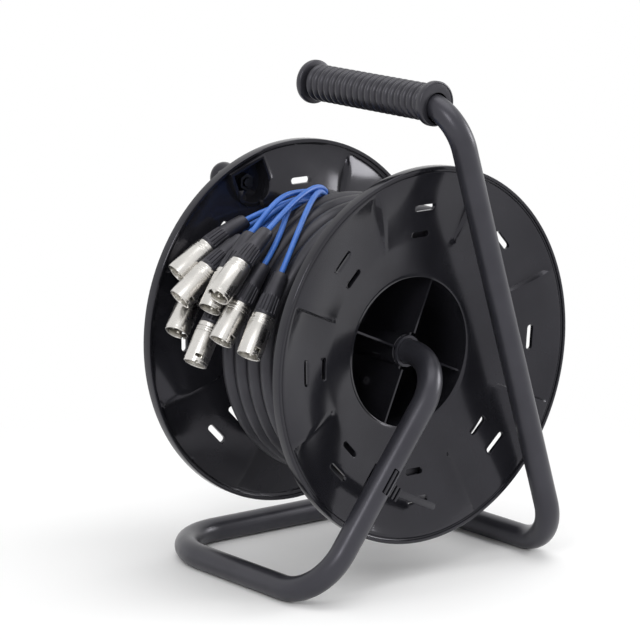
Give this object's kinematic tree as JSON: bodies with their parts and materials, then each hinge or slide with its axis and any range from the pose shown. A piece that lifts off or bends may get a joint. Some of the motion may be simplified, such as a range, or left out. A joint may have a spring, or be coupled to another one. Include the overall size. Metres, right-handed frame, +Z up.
{
  "type": "cable drum",
  "caption": "Multicore cable drum on a bent-tube stand with carry handle, crank knob and drum lock, its cable ending in blue tails with three-pin plugs.",
  "frame": {"origin": "on the floor, below the middle of the drum's axle", "axes": "+Z up, +Y along the axle from the leg's side to the crank's side, +X to the right when the leg's side is seen from the front"},
  "size_m": [0.2961, 0.2264, 0.383],
  "materials": {
    "stand": "satin",
    "moulding": "gloss",
    "grip": "matte",
    "cable": "satin",
    "tail": "satin",
    "shell": "satin",
    "insert": "matte",
    "fastener": "satin"
  },
  "bodies": {
    "stand": {"stand_tube": "stand", "handle_grip": "grip", "axle_stop_ring": "stand", "thrust_washer": "fastener", "axle_end_cap": "moulding", "axle_screw": "fastener"},
    "drum": {"far_drum_half": "moulding", "near_drum_half": "moulding", "drum_bolt_1": "fastener", "drum_bolt_2": "fastener", "drum_bolt_3": "fastener", "drum_bolt_4": "fastener", "drum_nut_1": "fastener", "drum_nut_2": "fastener", "drum_nut_3": "fastener", "drum_nut_4": "fastener", "crank_bolt": "fastener", "crank_nut": "fastener", "cable_winding": "cable", "cable_core": "cable", "breakout_sleeve": "grip", "tail_1": "tail", "tail_2": "tail", "tail_3": "tail", "tail_4": "tail", "tail_5": "tail", "tail_6": "tail", "tail_7": "tail", "tail_8": "tail", "plug_shell_1": "shell", "plug_shell_2": "shell", "plug_shell_3": "shell", "plug_shell_4": "shell", "plug_shell_5": "shell", "plug_shell_6": "shell", "plug_shell_7": "shell", "plug_shell_8": "shell", "plug_insert_1": "insert", "plug_insert_2": "insert", "plug_insert_3": "insert", "plug_insert_4": "insert", "plug_insert_5": "insert", "plug_insert_6": "insert", "plug_insert_7": "insert", "plug_insert_8": "insert", "plug_boot_1": "grip", "plug_boot_2": "grip", "plug_boot_3": "grip", "plug_boot_4": "grip", "plug_boot_5": "grip", "plug_boot_6": "grip", "plug_boot_7": "grip", "plug_boot_8": "grip"},
    "crank_knob": {"crank_knob": "moulding"},
    "lock_lever": {"lock_lever": "moulding"}
  },
  "joints": [
    {"name": "drum_spin", "type": "hinge", "parent": "stand", "child": "drum", "pos_m": [0, 0, 0.1736], "axis": [0, 1, 0], "continuous": true},
    {"name": "knob_spin", "type": "hinge", "parent": "drum", "child": "crank_knob", "pos_m": [-0.04745, 0.1, 0.28816], "axis": [0, 1, 0], "continuous": true},
    {"name": "lock_swing", "type": "hinge", "parent": "stand", "child": "lock_lever", "pos_m": [-0.06083, -0.1036, 0.09173], "axis": [0.5964, 0, 0.8027], "range_deg": [0, 5]}
  ]
}
